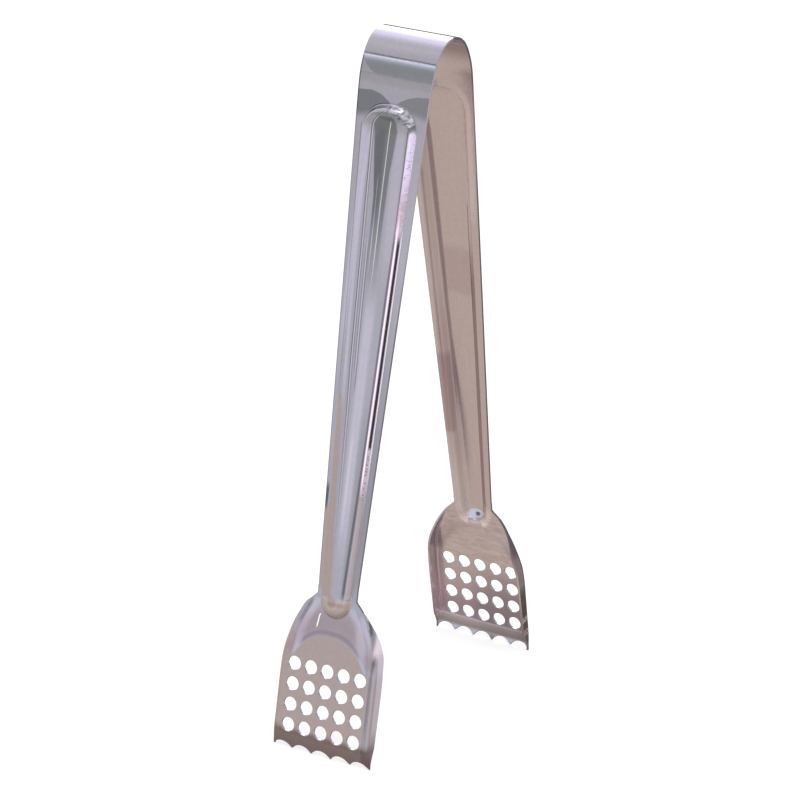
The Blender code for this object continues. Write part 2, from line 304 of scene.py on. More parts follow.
# ---------------------------------------------------------------------------
# A sheet with thickness, rounded free edges and exact surface normals
# ---------------------------------------------------------------------------
class Sheet:
    """Points are added by strip coordinates and quads by point number; build() makes both
    faces, the free edges and the seam caps. Material slots: outer, inner, edge."""

    def __init__(self, name, surface, side, edge=ARM_EDGE, uv_start=0.0):
        self.name, self.surface, self.side = name, surface, side
        self.edge, self.uv_start = edge, uv_start
        self.along, self.across, self.quads = [], [], []

    def add(self, along, across):
        along, across = np.broadcast_arrays(along, across)
        start = len(self.along)
        self.along.extend(along.ravel())
        self.across.extend(across.ravel())
        return np.arange(start, len(self.along)).reshape(along.shape)

    def add_quads(self, ids, skip=None):
        rows, cols = ids.shape
        for i in range(rows - 1):
            for j in range(cols - 1):
                if skip is None or not skip[i, j]:
                    self.quads.append((ids[i, j], ids[i, j + 1],
                                       ids[i + 1, j + 1], ids[i + 1, j]))

    def build_band(self, ids, mats):
        """A plain grid: both long edges free, both ends seams."""
        self.add_quads(ids)
        edges = [(ids[:, free], ids[:, near], False, self.edge, self.edge)
                 for free, near in ((0, 1), (-1, -2))]
        return self.build(edges, [ids[0], ids[-1]], mats)

    def build(self, edges, caps, mats):
        """edges: (ids, ids of inner neighbours, closed, rounding of outer and of inner face);
        caps: rows of ids at a seam."""
        along, across = np.array(self.along), np.array(self.across)
        points = self.surface(self.side, along, across)
        normals = outward_normals(self.surface, self.side, along, across)
        count = len(points)
        half = 0.5 * SHEET
        verts = [points + half * normals, points - half * normals]
        vert_normals = [normals, -normals]
        strip_uv = np.stack([across, along + self.uv_start], -1)
        uvs = [strip_uv] * 2
        faces = [list(quad) for quad in self.quads]
        faces += [[v + count for v in reversed(quad)] for quad in self.quads]
        slots = [0] * len(self.quads) + [1] * len(self.quads)
        total = 2 * count
        end_loops = {}
        for ids, near, closed, round_out, round_in in edges:
            ids, near = np.array(ids), np.array(near)
            mid, normal = points[ids], normals[ids]
            if closed:
                tangent = np.roll(mid, -1, 0) - np.roll(mid, 1, 0)
            else:
                tangent = np.gradient(mid, axis=0)
            away = unit(np.cross(tangent, normal))
            flip = np.sign(np.sum(away * (mid - points[near]), axis=1))
            away *= np.where(flip == 0, 1, flip)[:, None]
            rings = [ids]
            for face, rounding, turns in ((1, round_out, EDGE_TURNS),
                                          (-1, round_in, EDGE_TURNS[::-1])):
                for degrees in turns:
                    sine, cosine = math.sin(math.radians(degrees)), math.cos(math.radians(degrees))
                    verts.append(mid + away * (self.edge * sine)
                                 + face * (normal * (half - rounding + rounding * cosine)))
                    vert_normals.append(away * sine + face * (normal * cosine))
                    uvs.append(strip_uv[ids])
                    rings.append(np.arange(total, total + len(ids)))
                    total += len(ids)
            rings.append(ids + count)
            size = len(ids)
            for ring, following in zip(rings[:-1], rings[1:]):
                for i in range(size if closed else size - 1):
                    j = (i + 1) % size
                    faces.append([ring[i], ring[j], following[j], following[i]])
                    slots.append(2)
            if not closed:
                end_loops[ids[0]] = [ring[0] for ring in rings]
                end_loops[ids[-1]] = [ring[-1] for ring in rings]
        for row in caps:
            for i in range(len(row) - 1):
                faces.append([row[i], row[i + 1], row[i + 1] + count, row[i] + count])
                slots.append(2)
            for end in (row[0], row[-1]):
                if end in end_loops:
                    faces.append(end_loops[end])
                    slots.append(2)
        return self.make_object(np.concatenate(verts) * MM, np.concatenate(vert_normals),
                                np.concatenate(uvs), faces, slots, mats)

    def make_object(self, verts, vert_normals, uvs, faces, slots, mats):
        mesh = bpy.data.meshes.new(self.name)
        mesh.from_pydata([tuple(v) for v in verts], [], [[int(v) for v in f] for f in faces])
        for mat in mats:
            mesh.materials.append(mat)
        mesh.polygons.foreach_set("material_index", slots)
        mesh.polygons.foreach_set("use_smooth", [True] * len(faces))
        mesh.update()
        work = bmesh.new()
        work.from_mesh(mesh)
        bmesh.ops.recalc_face_normals(work, faces=work.faces)
        work.to_mesh(mesh)
        work.free()
        layer = mesh.uv_layers.new(name="strip")
        corners = np.zeros(len(mesh.loops), np.int64)
        mesh.loops.foreach_get("vertex_index", corners)
        layer.data.foreach_set("uv", uvs[corners].astype(np.float32).ravel())
        mesh.normals_split_custom_set_from_vertices([tuple(v) for v in vert_normals])
        ob = bpy.data.objects.new(self.name, mesh)
        bpy.context.scene.collection.objects.link(ob)
        return ob


def make_bow(side, name, mats):
    sheet = Sheet(name, bow_point, side, uv_start=SEAM_BOW - BOW_LENGTH)
    path = np.linspace(0.0, BOW_LENGTH, 81)
    half = strip_half(bow_along(path)) - sheet.edge
    across = half[:, None] * np.linspace(-1, 1, 25)
    return sheet.build_band(sheet.add(path[:, None], across), mats)


def arm_columns(along, edge):
    """Across the arm: flange, rib side, crown, rib side, flange."""
    foot, half = rib_half(along), strip_half(along) - edge
    top = foot - RIB_WALL
    columns = [f * top for f in np.linspace(0, 1, 23)[:-1]]
    columns += [top + f * (foot - top) for f in np.linspace(0, 1, 19)[:-1]]
    columns += [foot + f * (half - foot) for f in np.linspace(0, 1, 6)]
    far = np.stack(columns, -1)
    return np.concatenate([-far[:, :0:-1], far], 1)


def make_arm(side, name, mats):
    sheet = Sheet(name, strip_point, side)
    along = np.concatenate([np.linspace(SEAM_BOW, 26.0, 66)[:-1],
                            np.linspace(26.0, 132.0, 90)[:-1],
                            np.linspace(132.0, SEAM_JAW, 12)])
    return sheet.build_band(sheet.add(along[:, None], arm_columns(along, sheet.edge)), mats)


def notch_edge(y):
    """along of the scalloped tip: a row of equal circular notches."""
    pitch = 2.0 * EDGE_HALF / NOTCHES
    x = np.mod((y + EDGE_HALF) / pitch, 1.0) * 2.0 - 1.0
    x = np.where(np.abs(np.abs(y) - EDGE_HALF) < 1e-4, 1.0, x)
    half = 0.5 * pitch
    radius = (half * half + NOTCH_DEPTH ** 2) / (2.0 * NOTCH_DEPTH)
    sag = np.sqrt(radius * radius - (half * x) ** 2) - (radius - NOTCH_DEPTH)
    return LIP_END - sag


# Jaw grid: steps across one hole's cell, columns each side inside the cells and in all
CELL = 10
CELL_COLUMNS = HOLE_COLS * CELL // 2
WALL_COLUMNS = 20
JAW_COLUMNS = CELL_COLUMNS + WALL_COLUMNS
CELLS_FROM = HOLE_FIRST - 0.5 * HOLE_ALONG
CELLS_TO = CELLS_FROM + HOLE_ROWS * HOLE_ALONG
NECK_ROWS, LIP_ROWS = 79, 12
RING_STEPS = (0.62, 0.34, 0.14, 0.0)    # from the cell's border (1) to the hole's edge (0)


def jaw_across(along, edge):
    """Columns stay on the hole pitch inside the cells and share out the rest; above the
    cells they narrow with the sheet."""
    column = np.arange(-JAW_COLUMNS, JAW_COLUMNS + 1)
    number = np.abs(column)
    reach = developed(np.maximum(along, CELLS_FROM)) - edge
    inner = np.minimum(number, CELL_COLUMNS) * (HOLE_ACROSS / CELL)
    share = np.maximum(number - CELL_COLUMNS, 0) / WALL_COLUMNS
    across = inner + share * (reach - CELL_COLUMNS * HOLE_ACROSS / CELL)
    scale = np.where(along < CELLS_FROM, (developed(along) - edge) / reach, 1.0)
    return np.sign(column) * across * scale


def jaw_grid(edge):
    rows = np.concatenate([np.linspace(SEAM_JAW, CELLS_FROM, NECK_ROWS + 1)[:-1],
                           np.linspace(CELLS_FROM, CELLS_TO, HOLE_ROWS * CELL + 1)])[:, None]
    across = jaw_across(rows, edge)
    # the last rows follow the notched edge
    tip = jaw_across(np.array([[LIP_END]]), edge)[0]
    tip_along = notch_edge(tip / tip[-1] * EDGE_HALF) - edge
    fraction = (np.arange(1, LIP_ROWS + 1) / LIP_ROWS)[:, None]
    lip = CELLS_TO + fraction * (tip_along - CELLS_TO)
    return (np.vstack([rows + 0 * across, lip]),
            np.vstack([across, jaw_across(lip, edge)]))


def ring_hole(sheet, ids, along, across, row, col):
    """Fill one cell with rings that turn its square border into the hole's circle."""
    top, left = NECK_ROWS + row * CELL, JAW_COLUMNS - CELL_COLUMNS + col * CELL
    steps = range(CELL)
    border = [(top, left + q) for q in steps]
    border += [(top + q, left + CELL) for q in steps]
    border += [(top + CELL, left + CELL - q) for q in steps]
    border += [(top + CELL - q, left) for q in steps]
    border = tuple(np.array(border).T)
    border_along, border_across = along[border], across[border]
    centre_along = HOLE_FIRST + row * HOLE_ALONG
    centre_across = (col - 0.5 * (HOLE_COLS - 1)) * HOLE_ACROSS
    angle = np.arctan2(border_along - centre_along, border_across - centre_across)
    radius = 0.5 * HOLE_D + sheet.edge
    hole_along = centre_along + radius * np.sin(angle)
    hole_across = centre_across + radius * np.cos(angle)
    ring = ids[border]
    for f in RING_STEPS:
        outer = ring
        ring = sheet.add(hole_along + f * (border_along - hole_along),
                         hole_across + f * (border_across - hole_across))
        size = len(ring)
        for i in range(size):
            j = (i + 1) % size
            sheet.quads.append((outer[i], outer[j], ring[j], ring[i]))
    return (ring, outer, True, *HOLE_ROUND)


def outline(grid):
    """Down the near edge, along the tip, and up the far edge."""
    return np.concatenate([grid[:, 0], grid[-1, 1:-1], grid[::-1, -1]])


def make_jaw(side, name, mats):
    sheet = Sheet(name, strip_point, side, JAW_EDGE)
    along, across = jaw_grid(sheet.edge)
    rows, cols = along.shape
    top, left = NECK_ROWS, JAW_COLUMNS - CELL_COLUMNS
    skip = np.zeros((rows - 1, cols - 1), bool)
    skip[top:top + HOLE_ROWS * CELL, left:left + HOLE_COLS * CELL] = True
    holes = [(row, col) for row in range(HOLE_ROWS) for col in range(HOLE_COLS)]
    keep = np.ones((rows, cols), bool)
    for row, col in holes:
        keep[top + row * CELL + 1:top + (row + 1) * CELL,
             left + col * CELL + 1:left + (col + 1) * CELL] = False
    ids = np.full((rows, cols), -1)
    ids[keep] = sheet.add(along[keep], across[keep])
    sheet.add_quads(ids, skip)
    edges = [ring_hole(sheet, ids, along, across, row, col) for row, col in holes]
    inner = ids[np.ix_(np.minimum(np.arange(rows), rows - 2),
                       np.clip(np.arange(cols), 1, cols - 2))]
    edges.append((outline(ids), outline(inner), False, sheet.edge, sheet.edge))
    return sheet.build(edges, [ids[0]], mats)


# ---------------------------------------------------------------------------
# Shader arithmetic
# ---------------------------------------------------------------------------
class Signal:
    """A node's output that can be used in sums; each operation adds a math node."""

    def __init__(self, socket):
        self.socket = socket
        self.tree = socket.id_data

    def __add__(self, other): return calc("ADD", self, other)
    def __radd__(self, other): return calc("ADD", other, self)
    def __sub__(self, other): return calc("SUBTRACT", self, other)
    def __rsub__(self, other): return calc("SUBTRACT", other, self)
    def __mul__(self, other): return calc("MULTIPLY", self, other)
    def __rmul__(self, other): return calc("MULTIPLY", other, self)
    def __truediv__(self, other): return calc("DIVIDE", self, other)
    def __pow__(self, other): return calc("POWER", self, other)
    def __lt__(self, other): return calc("LESS_THAN", self, other)
    def __abs__(self): return calc("ABSOLUTE", self)
    def max(self, other): return calc("MAXIMUM", self, other)
    def min(self, other): return calc("MINIMUM", self, other)


def tree_of(*values):
    return next(value.tree for value in values if isinstance(value, Signal))


def add_node(tree, kind, **props):
    node = tree.nodes.new(kind)
    for key, value in props.items():
        setattr(node, key, value)
    return node


def feed(socket, value):
    if isinstance(value, Signal):
        value.tree.links.new(value.socket, socket)
    else:
        socket.default_value = value


def calc(operation, first, second=None):
    node = add_node(tree_of(first, second), "ShaderNodeMath", operation=operation)
    feed(node.inputs[0], first)
    if second is not None:
        feed(node.inputs[1], second)
    return Signal(node.outputs[0])


def fade(value, start, stop, low=0, high=1, smooth=True):
    """low where value is at start, high where it is at stop."""
    node = add_node(value.tree, "ShaderNodeMapRange")
    node.interpolation_type = "SMOOTHSTEP" if smooth else "LINEAR"
    feed(node.inputs["Value"], value)
    for key, number in (("From Min", start), ("From Max", stop), ("To Min", low), ("To Max", high)):
        node.inputs[key].default_value = number
    return Signal(node.outputs["Result"])


def mix(factor, first, second, blend="MIX"):
    node = add_node(tree_of(factor, first, second), "ShaderNodeMix",
                    data_type="RGBA", blend_type=blend)
    feed(node.inputs["Factor"], factor)
    for socket, colour in ((node.inputs[6], first), (node.inputs[7], second)):
        feed(socket, colour if isinstance(colour, Signal) else (*colour, 1.0))
    return Signal(node.outputs[2])


def times(colour, tint):
    return mix(1.0, colour, tint, "MULTIPLY")


def ramp(value, stops):
    """Colour by stops of (position, colour)."""
    node = add_node(value.tree, "ShaderNodeValToRGB")
    elements = node.color_ramp.elements
    elements.remove(elements[-1])
    elements[0].position = stops[0][0]
    elements[0].color = (*stops[0][1], 1.0)
    for position, colour in stops[1:]:
        elements.new(position).color = (*colour, 1.0)
    feed(node.inputs[0], value)
    return Signal(node.outputs["Color"])


def combine(x, y, z=0.0):
    node = add_node(x.tree, "ShaderNodeCombineXYZ")
    for socket, value in zip(node.inputs, (x, y, z)):
        feed(socket, value)
    return Signal(node.outputs[0])


def grey(value):
    return combine(value, value, value)


def split_xyz(vector):
    node = add_node(vector.id_data, "ShaderNodeSeparateXYZ")
    feed(node.inputs[0], Signal(vector))
    return [Signal(socket) for socket in node.outputs]


def noise(vector, scale=1.0, detail=3.0, rough=0.6, distort=0.0):
    node = add_node(vector.tree, "ShaderNodeTexNoise")
    feed(node.inputs["Vector"], vector)
    for key, number in (("Scale", scale), ("Detail", detail), ("Roughness", rough),
                        ("Distortion", distort)):
        node.inputs[key].default_value = number
    return Signal(node.outputs["Fac"])


def curve(value, points, low=-12, high=12):
    """Read off (position, result) points, linear between; low and high bound the results."""
    first, last = points[0][0], points[-1][0]
    stops = [((p - first) / (last - first), ((v - low) / (high - low),) * 3) for p, v in points]
    shades = ramp(fade(value, first, last, smooth=False), stops)
    node = add_node(value.tree, "ShaderNodeSeparateColor")
    feed(node.inputs[0], shades)
    return Signal(node.outputs[0]) * (high - low) + low


def between(value, start, stop, soft=0.1, soft_stop=None):
    """1 while start < value < stop, with soft ends; start and stop may vary."""
    soft_stop = soft if soft_stop is None else soft_stop
    return fade(value - start, -soft, soft) * fade(stop - value, -soft_stop, soft_stop)


def stripe(value, centre, half, soft=0.06):
    return 1 - fade(abs(value - centre), half - soft, half + soft)


def mask(*parts):
    """Product of signals and numbers; a tuple stands for the arguments of a fade."""
    return reduce(mul, [fade(*p) if isinstance(p, tuple) else p for p in parts])


# ---------------------------------------------------------------------------
# Steel
# ---------------------------------------------------------------------------
class Coat:
    """The colour of one material while its painted reflections, highlights and shade are laid over
    it in order.
    """
    left_only = 1.0                     # set to 0 where the left side's painted reflections and shade are left out
    matte = None

    def __init__(self, across, along):
        self.across, self.along = across, along

    @cached_property
    def inset(self):
        """Distance in from the rib's foot, at its sides and at its rounded ends."""
        half = (RIB_HALF - self.along * RIB_RATE).min(TOP_R).max(LOW_R)
        up = (TOP_CENTRE - self.along).max(0)
        down = (self.along - LOW_CENTRE).max(0)
        low_end = calc("SQRT", self.across * self.across + down * down)
        arch = (abs(self.across) ** ARCH_POWER + up ** ARCH_POWER) ** (1 / ARCH_POWER)
        return half - low_end.max(arch)

    @cached_property
    def near(self):
        return self.across < 0

    @cached_property
    def past_border(self):
        """Distance down from the plate's arched border."""
        sideways = (abs(self.across) / PLATE_HALF).min(1)
        return self.along - (PLATE_ARCH + PLATE_DROP * sideways ** PLATE_POWER)

    @property
    def place(self):
        return self.across, self.along, self.inset

    def run(self, start, full, waning, end):
        """Mask parts: fades in down the strip from start to full, out from waning to end."""
        return (self.along, start, full), (self.along, end, waning)

    def grain(self, per_across, per_along, seed=0.0, **settings):
        """Noise stretched by its rate of change across and along the strip."""
        return noise(combine(self.across * per_across, self.along * per_along, seed), **settings)

    def tint(self, colour, *parts):
        """Multiply by a colour inside the mask."""
        where = mask(*parts)
        self.colour = mix(where, self.colour, times(self.colour, colour))

    def paint_matte_light(self, colour, *parts):
        """Paint colour standing in for light and shade inside the mask, and make the steel matte
        there so that it shows under the lamps.
        """
        where = mask(*parts)
        self.matte = self.matte.max(where) if self.matte else where
        self.colour = mix(where, self.colour, colour)

    def ellipse(self, across, along, half_across, half_along):
        """Distance from an ellipse's centre; 1 on the ellipse."""
        node = add_node(self.along.tree, "ShaderNodeVectorMath", operation="LENGTH")
        feed(node.inputs[0], combine((self.across - across) / half_across,
                                     (self.along - along) / half_along))
        return Signal(node.outputs["Value"])


def steel(name, base, rough, bump_strength, paint):
    """Polished sheet: rolling grain, fine scratches, smears and pits, then its own painted
    reflections, highlights and shade.
    """
    mat = bpy.data.materials.new(name)
    mat.use_nodes = True
    tree = mat.node_tree
    bsdf = tree.nodes["Principled BSDF"].inputs
    uv = add_node(tree, "ShaderNodeUVMap", uv_map="strip")
    across, along, _ = split_xyz(uv.outputs[0])
    coat = Coat(across, along)

    # grain runs down the arms but across the bow
    fine, wide = coat.grain(9, 0.16), coat.grain(2.2, 0.04, rough=0.55)
    coat.cross = coat.grain(0.25, 5, 2, rough=0.65)
    on_bow = fade(along, 13, 8)
    lines = fine * (1 - on_bow) + coat.cross * on_bow
    coat.broad = 0.5 + (wide - 0.5) * (1 - on_bow * 0.8)

    def scratches(angle, seed, start, stop):
        cosine, sine = math.cos(angle), math.sin(angle)
        crosswise = across * cosine + along * sine
        lengthwise = along * cosine - across * sine
        field = noise(combine(crosswise * 7, lengthwise * 0.11, seed), detail=1, rough=0.4)
        return fade(field, start, stop)

    marks = scratches(0.35, 3, 0.70, 0.76).max(scratches(-0.75, 9, 0.71, 0.77))
    marks = marks.max(scratches(1.25, 17, 0.72, 0.78))
    smear = coat.grain(0.13, 0.05, 5, detail=4, distort=0.6)
    coat.pits = noise(combine(across, along, 11), scale=2.3, detail=2, rough=0.7)
    pit = fade(coat.pits, 0.74, 0.80)
    coat.mottle = noise(combine(across, along, 23), scale=0.9)

    value = (coat.broad - 0.5) * fade(along, 132, 142, low=0.12, high=0.05) + 1
    value = value + (coat.mottle - 0.5) * 0.16 + (lines - 0.5) * 0.10 - pit * 0.22
    coat.colour = times(base, grey(value))
    paint(coat)
    feed(bsdf["Base Color"], coat.colour)
    bsdf["Metallic"].default_value = 1.0
    roughness = rough + (smear - 0.5) * 0.10 + (lines - 0.5) * 0.06 + marks * 0.10
    if coat.matte:
        feed(bsdf["Metallic"], 1 - coat.matte)
        feed(bsdf["Specular IOR Level"], (1 - coat.matte) * 0.5)
        roughness = roughness + coat.matte * 0.35
    feed(bsdf["Roughness"], roughness.max(0.03))
    bump = add_node(tree, "ShaderNodeBump")
    bump.inputs["Strength"].default_value = bump_strength
    bump.inputs["Distance"].default_value = 0.00001
    feed(bump.inputs["Height"], lines * 0.6 + coat.broad * 0.5 - marks * 0.5 - pit * 0.6)
    feed(bsdf["Normal"], Signal(bump.outputs[0]))
    return mat


# Tints for painted light: a warm reflection, and a dark grey reflection
WARM, DARK_REFLECTION = (1.04, 0.885, 0.735), (0.51, 0.545, 0.515)


def paint_above_arch(coat):
    across, along, inset = coat.place
    # painted dark reflection lobes on the flat above the rib's arch
    top = curve(across, [(-10.5, 12.8), (-6.5, 13.2), (-4, 13.95), (-2, 15.05), (-0.7, 16.2),
                         (0.5, 15.7), (1.5, 15.05), (3.5, 13.85), (6, 13.25), (10.5, 13.65)],
                low=0, high=20)
    foot = curve(across, [(-10.5, 18.3), (-7, 17.8), (0, 18), (10.5, 20)], low=0, high=22)
    coat.tint(DARK_REFLECTION, between(along, top, foot, soft=0.16, soft_stop=1.3), (inset, 0.25, -0.1),
              (across, -2, 2, 0.82, 1))
    # painted lighter reflection in the far corner of the bow
    border = curve(along, [(5.8, 10.4), (6.6, 9.3), (7.5, 8.5), (8.5, 7.4), (9.3, 5.8), (9.8, 2)])
    coat.tint((1.42, 1.30, 1.32), (across - border, -0.25, 0.25),
              between(along, 6.5, 9.25, soft=0.3, soft_stop=0.2))


# Painted reflections, gleams and shade on the rib's crown.
def paint_rib_crown(coat):
    across, along, _ = coat.place
    # painted dark reflection tongue below the arch, with two thin painted gleams
    far = curve(along, [(18.3, 0.4), (19, 1.9), (20, 2.7), (21, 3), (24, 2.6), (30, 1.9),
                        (38, 1), (65, 0.7)])
    near = curve(along, [(18.3, -0.4), (19, -2), (20, -2.9), (22, -3.5), (27, -3.1),
                         (32, -2.6), (45, -2.3), (65, -2.1)])
    tongue = mask((across - near, -0.3, 0.3), (far - across, -0.18, 0.18),
                  *coat.run(18.3, 19.2, 38, 66))
    coat.tint(DARK_REFLECTION, tongue)
    coat.tint((0.76, 0.76, 0.78), tongue, between(across, -0.5, 2.2, soft=0.5),
              *coat.run(20, 24, 40, 48))
    line = curve(along, [(18, -1.45), (40, -1.15), (64, -1.05)])
    coat.paint_matte_light((0.64, 0.64, 0.65), stripe(across, line, half=0.11),
              *coat.run(19.3, 20.2, 50, 64), 0.75)
    line = curve(along, [(30, 0.35), (45, 0.15), (60, 0.1)])
    coat.tint((2.2, 2.1, 2.1), stripe(across, line, half=0.12), *coat.run(32, 35, 48, 58), 0.8)
    # a long double line down the far half
    line = curve(along, [(17, 0.2), (18, 1.3), (19, 2.6), (20, 3.35), (21, 3.65), (24, 3.6),
                         (30, 3.4), (45, 3.05), (60, 2.75), (78, 2.35), (90, 1.9),
                         (105, 1.45), (120, 1.1), (137, 0.7)])
    reach = mask(*coat.run(17.3, 18.3, 70, 140))
    coat.tint((0.38, 0.37, 0.38), stripe(across, line, half=0.12), reach)
    coat.tint((1.45, 1.43, 1.45), stripe(across, line - 0.3, half=0.12), reach)
    coat.tint((0.55, 0.55, 0.55), stripe(across, line - 0.6, half=0.09), reach)
    # lighter runs beyond it, and the dark line of the rib's far foot
    line = curve(along, [(20, 4.2), (40, 4.55), (55, 4.4), (70, 4), (85, 3.4), (100, 3)])
    coat.tint((1.32, 1.3, 1.36), stripe(across, line, half=0.5, soft=0.35),
              *coat.run(20, 25, 80, 96))
    coat.tint((1.28, 1.27, 1.30), between(across, 4.9, 7.4, soft=0.25, soft_stop=0.3),
              *coat.run(20, 23, 60, 90))
    line = curve(along, [(21, 7.95), (30, 7.65), (45, 7.2), (60, 6.7), (78, 6.2), (90, 5.8)])
    coat.tint((0.66, 0.65, 0.68), stripe(across, line, half=0.14, soft=0.1),
              *coat.run(20.5, 22.5, 80, 96))
    # a shorter light line with dark borders
    line = curve(along, [(46, 1.3), (60, 1.05), (72, 0.85), (82, 0.6)])
    reach = mask(*coat.run(46, 54, 78, 84))
    coat.tint((1.4, 1.38, 1.42), stripe(across, line, half=0.11), reach)
    coat.tint((0.68, 0.68, 0.70), stripe(across, line + 0.32, half=0.13), reach)
    coat.tint((0.62, 0.62, 0.64), stripe(across, line - 0.32, half=0.14),
              *coat.run(46, 54, 84, 88))
    # light and shade along the near half and the middle
    coat.tint((1.18, 1.16, 1.2), between(across, -5.5, -3.2, soft=0.2, soft_stop=0.8),
              *coat.run(20, 23, 46, 64))
    middle = curve(along, [(60, -1.6), (80, -1.3), (100, -1.1), (137, -0.8)])
    coat.tint((1.28, 1.25, 1.3), stripe(across, middle, half=1.3, soft=0.7),
              *coat.run(58, 70, 112, 136))
    coat.tint((1.3, 1.3, 1.3), stripe(across, middle + 0.4, half=0.28, soft=0.22),
              *coat.run(96, 102, 108, 128))
    coat.tint((0.84, 0.87, 0.84),
              between(across, middle - 3.4, middle - 1.2, soft=0.5, soft_stop=0.4),
              *coat.run(84, 100, 137, 140))
    # dark line beside the near wall, widening downward
    line = curve(along, [(21, -6.05), (30, -6), (45, -5.7), (60, -5.2), (75, -4.85),
                         (100, -4.15), (120, -3.35), (138, -2.65)])
    width = curve(along, [(21, 0.12), (45, 0.2), (60, 0.28), (138, 0.30)])
    coat.tint((0.50, 0.50, 0.50), (abs(across - line) / width, 1.5, 0.5),
              *coat.run(20.5, 22, 137, 139.5))


def paint_near_wall(coat):
    """Painted reflections, highlights and shade on the rib's near wall and the flange beside it."""
    across, along, inset = coat.place
    near = coat.near
    wall = mask(near, (inset, 0.05, 0.25), (inset, 1.25, 1.05))
    # painted bright reflection, turning a darker pink downward
    foot = curve(along, [(20, 0.25), (24, 0.28), (36, 0.45), (50, 0.55)])
    bright = mask(near, (inset - foot, -0.08, 0.1), (inset, 1.4, 1.2))
    off = abs(across + 6.75)
    pinker_reflection = mask((along, 31, 41), (coat.mottle, 0.38, 0.60, 0.55, 1))
    coat.paint_matte_light(mix(pinker_reflection, (0.66, 0.58, 0.77), (0.47, 0.35, 0.42)),
              bright, (along - off * off * 3, 21, 22.2), (along, 50, 45), 0.75 + coat.broad * 0.4)
    # two light lines either side of a dark core
    coat.paint_matte_light((0.82, 0.72, 0.88), near, stripe(inset, 1.04, half=0.12),
              *coat.run(40, 47, 106, 116))
    coat.paint_matte_light((0.74, 0.70, 0.76), near, stripe(inset, 0.44, half=0.10),
              *coat.run(44, 49, 102, 116))
    coat.tint((0.13, 0.11, 0.13), near, (inset, 0.56, 0.63), (inset, 0.90, 0.83),
              *coat.run(46.5, 49.5, 99.5, 101))
    # the core breaks up into a spotted light dash
    coat.paint_matte_light((0.60, 0.51, 0.57), near, stripe(inset, 0.73, half=0.2),
              *coat.run(99.5, 101, 112, 114), 0.8, coat.left_only)
    coat.tint((0.60, 0.45, 0.48), stripe(inset, 0.76, half=0.12),
              *coat.run(100, 101, 112.5, 113.5), (coat.pits, 0.46, 0.52), coat.left_only)
    coat.paint_matte_light((0.36, 0.30, 0.35), wall, *coat.run(111, 115, 137.5, 139.5), 0.8)
    coat.tint((0.80, 0.76, 0.73), near, stripe(inset, 0.42, half=0.16),
              *coat.run(113, 120, 137.5, 139.5))
    # the near flange darkens down the arm
    tone = curve(along, [(20, 1), (40, 1.1), (60, 1.06), (75, 0.95), (90, 0.84), (120, 0.74),
                         (134, 0.80), (141, 1)], low=0, high=2)
    coat.tint(grey(tone), near, (inset, 0.15, 0), *coat.run(20, 24, 139, 142))
    # specks
    coat.tint((0.3, 0.26, 0.3), wall, (coat.pits, 0.60, 0.66), (along, 45, 30), (along, 21, 23))


def paint_arch(coat):
    """Painted glints and shade on the crinkled near shoulder of the arch, and a painted dark arc on
    its far side.
    """
    across, along, inset = coat.place
    crinkle_glints = coat.grain(0.75, 0.9, 31, detail=2, rough=0.55, distort=0.8)
    zone = mask(between(inset, 0.35, 2.6, soft=0.25, soft_stop=0.4), (along, 21.5, 19.5),
                between(across, -6.9, 0.3, soft=0.6, soft_stop=0.8))
    coat.tint((0.45, 0.45, 0.47), zone, (crinkle_glints, 0.55, 0.61))
    coat.tint((1.5, 1.45, 1.6), zone, (crinkle_glints, 0.46, 0.40))
    coat.tint((0.30, 0.30, 0.31), between(inset, 0.1, 0.45, soft=0.12), (along, 22, 19.5),
              between(across, 0.9, 6.5, soft=0.4, soft_stop=1))


def paint_warm_light(coat):
    """Warm light on the far half of the lower arm and on the plate."""
    across, along, inset = coat.place
    border = curve(along, [(86, 8), (87.6, 4.2), (88.6, 3.5), (100, 2.9), (110, 2.3), (120, 1.7),
                           (130, 1), (138, 0.5), (140, -1.5), (142, -7), (146, -7.5)])
    arm = mask((across - border, -0.22, 0.22), (along, 87, 88.5),
               fade(inset, 0.15, 0.45).max(fade(along, 115, 119)), (along, 146.5, 145.5),
               fade(inset, -0.1, 0.15).max(fade(along, 138.5, 137)))
    plate = mask((coat.past_border, -0.35, 0.3), (across, -12.3, -11.2))
    coat.tint(mix(fade(along, 152, 156), (1.10, 1.06, 0.95), (1.03, 0.86, 0.70)),
              (across, 10.2, 11), (along, 148.2, 150), 1 - plate)
    # the rib's lower end stays out of the warm light and is painted a matte tan reflection, darker
    # lower down
    nose = mask((inset, 3.4, 2.4), *coat.run(138.6, 140.2, 145.5, 146.5))
    coat.tint(WARM, arm.max(plate), 1 - nose)
    coat.paint_matte_light(mix(fade(along, 141, 143), (0.35, 0.275, 0.25), (0.29, 0.212, 0.19)),
              nose, (inset, -0.15, 0.15), 0.9)


